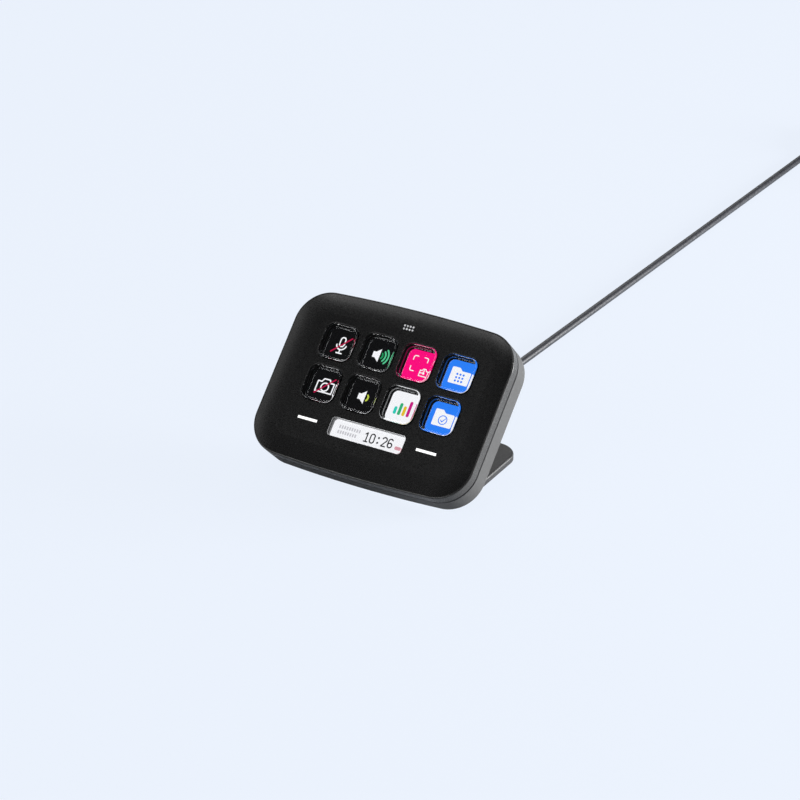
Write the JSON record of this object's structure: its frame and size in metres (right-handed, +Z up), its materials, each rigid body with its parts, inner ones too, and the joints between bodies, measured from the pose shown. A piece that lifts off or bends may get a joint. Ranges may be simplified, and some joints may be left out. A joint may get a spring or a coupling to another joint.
{
  "type": "desk key pad with display keys",
  "caption": "Tilted desk key pad: clear square keys over a colour screen, a clock window and touch bars, on a slide-off foot stand, with a straight USB cord",
  "frame": {"origin": "centre of the base on the desk, under the middle of the body and stand, without the cord", "axes": "+X right as seen by the user, +Y away from the user, +Z up"},
  "size_m": [0.1177, 0.504, 0.0661],
  "materials": {
    "front_shell": "fine matte texture, black",
    "rear_shell": "fine matte texture, black grey",
    "clear_plastic": "clear polished",
    "light_pipe": "milky, lit from behind",
    "membrane": "matte silicone, black",
    "circuit_board": "dark green solder mask",
    "foam": "conductive foam, grey",
    "screen_glass": "screen, lit",
    "carrier": "moulded, light grey",
    "flex": "polyimide film, amber",
    "chips": "moulded, black",
    "header": "moulded, ivory",
    "screws": "zinc plated",
    "rubber_feet": "matte, black",
    "stand": "fine matte texture, dark grey",
    "gland": "matte, dark grey",
    "cord_jacket": "smooth satin, dark grey",
    "tie": "hook and loop strap, black",
    "plug_grip": "moulded, dark grey",
    "plug_metal": "nickel plated"
  },
  "bodies": {
    "stand": {"stand_frame": "stand", "stand_pad": "rubber_feet"},
    "keypad": {"front_housing": "front_shell", "rear_housing": "rear_shell", "clock_window": "clear_plastic", "light_bar_left": "light_pipe", "light_bar_right": "light_pipe", "key_membrane": "membrane", "key_board": "circuit_board", "touch_pads": "foam", "lcd_panel": "screen_glass", "lcd_carrier": "carrier", "lcd_flex": "flex", "key_flex": "flex", "main_board": "circuit_board", "board_parts": "chips", "lead_header": "header", "inner_lead": "cord_jacket", "shell_screws": "screws", "carrier_screws": "screws", "board_screws": "screws", "rear_feet": "rubber_feet", "cord_gland": "gland", "usb_cord": "cord_jacket", "cord_coil": "cord_jacket", "cord_tie": "tie", "usb_plug_grip": "plug_grip", "usb_plug_shell": "plug_metal"},
    "key_1": {"key_cap_1": "clear_plastic"},
    "key_2": {"key_cap_2": "clear_plastic"},
    "key_3": {"key_cap_3": "clear_plastic"},
    "key_4": {"key_cap_4": "clear_plastic"},
    "key_5": {"key_cap_5": "clear_plastic"},
    "key_6": {"key_cap_6": "clear_plastic"},
    "key_7": {"key_cap_7": "clear_plastic"},
    "key_8": {"key_cap_8": "clear_plastic"}
  },
  "joints": [
    {"name": "keypad_lift", "type": "slide", "parent": "stand", "child": "keypad", "axis": [0, 0.7071, 0.7071], "range_m": [0, 0.03]},
    {"name": "key_1_press", "type": "slide", "parent": "keypad", "child": "key_1", "axis": [0, 0.7071, -0.7071], "range_m": [0, 0.0011], "stiffness_N_per_m": 500, "springref_m": -0.0006, "deforming": ["key_membrane"]},
    {"name": "key_2_press", "type": "slide", "parent": "keypad", "child": "key_2", "axis": [0, 0.7071, -0.7071], "range_m": [0, 0.0011], "stiffness_N_per_m": 500, "springref_m": -0.0006, "deforming": ["key_membrane"]},
    {"name": "key_3_press", "type": "slide", "parent": "keypad", "child": "key_3", "axis": [0, 0.7071, -0.7071], "range_m": [0, 0.0011], "stiffness_N_per_m": 500, "springref_m": -0.0006, "deforming": ["key_membrane"]},
    {"name": "key_4_press", "type": "slide", "parent": "keypad", "child": "key_4", "axis": [0, 0.7071, -0.7071], "range_m": [0, 0.0011], "stiffness_N_per_m": 500, "springref_m": -0.0006, "deforming": ["key_membrane"]},
    {"name": "key_5_press", "type": "slide", "parent": "keypad", "child": "key_5", "axis": [0, 0.7071, -0.7071], "range_m": [0, 0.0011], "stiffness_N_per_m": 500, "springref_m": -0.0006, "deforming": ["key_membrane"]},
    {"name": "key_6_press", "type": "slide", "parent": "keypad", "child": "key_6", "axis": [0, 0.7071, -0.7071], "range_m": [0, 0.0011], "stiffness_N_per_m": 500, "springref_m": -0.0006, "deforming": ["key_membrane"]},
    {"name": "key_7_press", "type": "slide", "parent": "keypad", "child": "key_7", "axis": [0, 0.7071, -0.7071], "range_m": [0, 0.0011], "stiffness_N_per_m": 500, "springref_m": -0.0006, "deforming": ["key_membrane"]},
    {"name": "key_8_press", "type": "slide", "parent": "keypad", "child": "key_8", "axis": [0, 0.7071, -0.7071], "range_m": [0, 0.0011], "stiffness_N_per_m": 500, "springref_m": -0.0006, "deforming": ["key_membrane"]}
  ]
}
